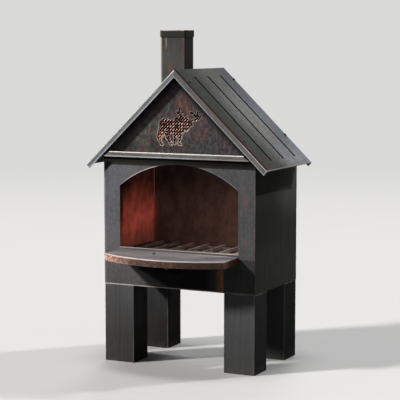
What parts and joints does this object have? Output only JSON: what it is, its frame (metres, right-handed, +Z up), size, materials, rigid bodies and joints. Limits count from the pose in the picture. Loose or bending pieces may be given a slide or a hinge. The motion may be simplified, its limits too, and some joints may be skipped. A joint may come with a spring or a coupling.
{
  "type": "chiminea",
  "caption": "Cabin-shaped sheet-steel outdoor fireplace on square legs: arched fire opening, hearth shelf, pitched roof with chimney, moose cut-out backed by mesh, lift-out log grate.",
  "frame": {"origin": "on the ground, under the middle of the whole object, hearth shelf included", "axes": "+Z up, +X to the right as seen from the front, +Y to the back; the hearth shelf points along -Y"},
  "size_m": [0.715, 0.5724, 1.2085],
  "materials": {
    "charcoal_paint": "charcoal heat-resistant paint, brushed, with copper showing through at edges",
    "rubbed_edge": "rubbed back to a warm grey metal shine",
    "copper_rim": "charcoal paint rubbed back to copper on the rim",
    "bare_mesh": "rough copper-toned expanded metal",
    "fire_steel": "sooty, heat-dulled",
    "grate_iron": "rough, sooty",
    "dark_fastener": "blackened, slightly worn"
  },
  "bodies": {
    "root": {"leg_front_left": "charcoal_paint", "leg_front_right": "charcoal_paint", "leg_rear_left": "charcoal_paint", "leg_rear_right": "charcoal_paint", "base_panel": "fire_steel", "front_panel": "charcoal_paint", "gable_front": "charcoal_paint", "rear_panel": "charcoal_paint", "side_panel_left": "charcoal_paint", "side_panel_right": "charcoal_paint", "crossbar": "rubbed_edge", "moose_mesh": "bare_mesh", "roof_left": "charcoal_paint", "roof_right": "charcoal_paint", "ridge_angle": "fire_steel", "chimney_tube": "charcoal_paint", "chimney_band": "charcoal_paint", "chimney_flange": "charcoal_paint", "shelf": "copper_rim", "shelf_brace": "fire_steel", "fire_floor": "fire_steel", "floor_rail_left": "fire_steel", "floor_rail_right": "fire_steel", "leg_front_left_screw_1": "dark_fastener", "leg_front_left_screw_2": "dark_fastener", "leg_front_right_screw_1": "dark_fastener", "leg_front_right_screw_2": "dark_fastener", "leg_rear_left_screw_1": "dark_fastener", "leg_rear_left_screw_2": "dark_fastener", "leg_rear_right_screw_1": "dark_fastener", "leg_rear_right_screw_2": "dark_fastener", "crossbar_screw_1": "dark_fastener", "crossbar_screw_2": "dark_fastener", "crossbar_screw_3": "dark_fastener", "crossbar_screw_4": "dark_fastener", "chimney_screw_1": "dark_fastener", "chimney_screw_2": "dark_fastener", "chimney_screw_3": "dark_fastener", "chimney_screw_4": "dark_fastener", "roof_left_screw_1": "dark_fastener", "roof_left_screw_2": "dark_fastener", "roof_left_screw_3": "dark_fastener", "roof_left_screw_4": "dark_fastener", "roof_right_screw_1": "dark_fastener", "roof_right_screw_2": "dark_fastener", "roof_right_screw_3": "dark_fastener", "roof_right_screw_4": "dark_fastener", "shelf_bolt_1": "dark_fastener", "shelf_bolt_2": "dark_fastener", "shelf_bolt_3": "dark_fastener", "shelf_bolt_4": "dark_fastener", "shelf_nut_1": "dark_fastener", "shelf_nut_2": "dark_fastener", "shelf_nut_3": "dark_fastener", "shelf_nut_4": "dark_fastener"},
    "log_grate": {"log_grate": "grate_iron"}
  },
  "joints": [
    {"name": "log_grate_lift", "type": "slide", "parent": "root", "child": "log_grate", "axis": [0, -0.8829, 0.4695], "range_m": [0, 0.55]}
  ]
}
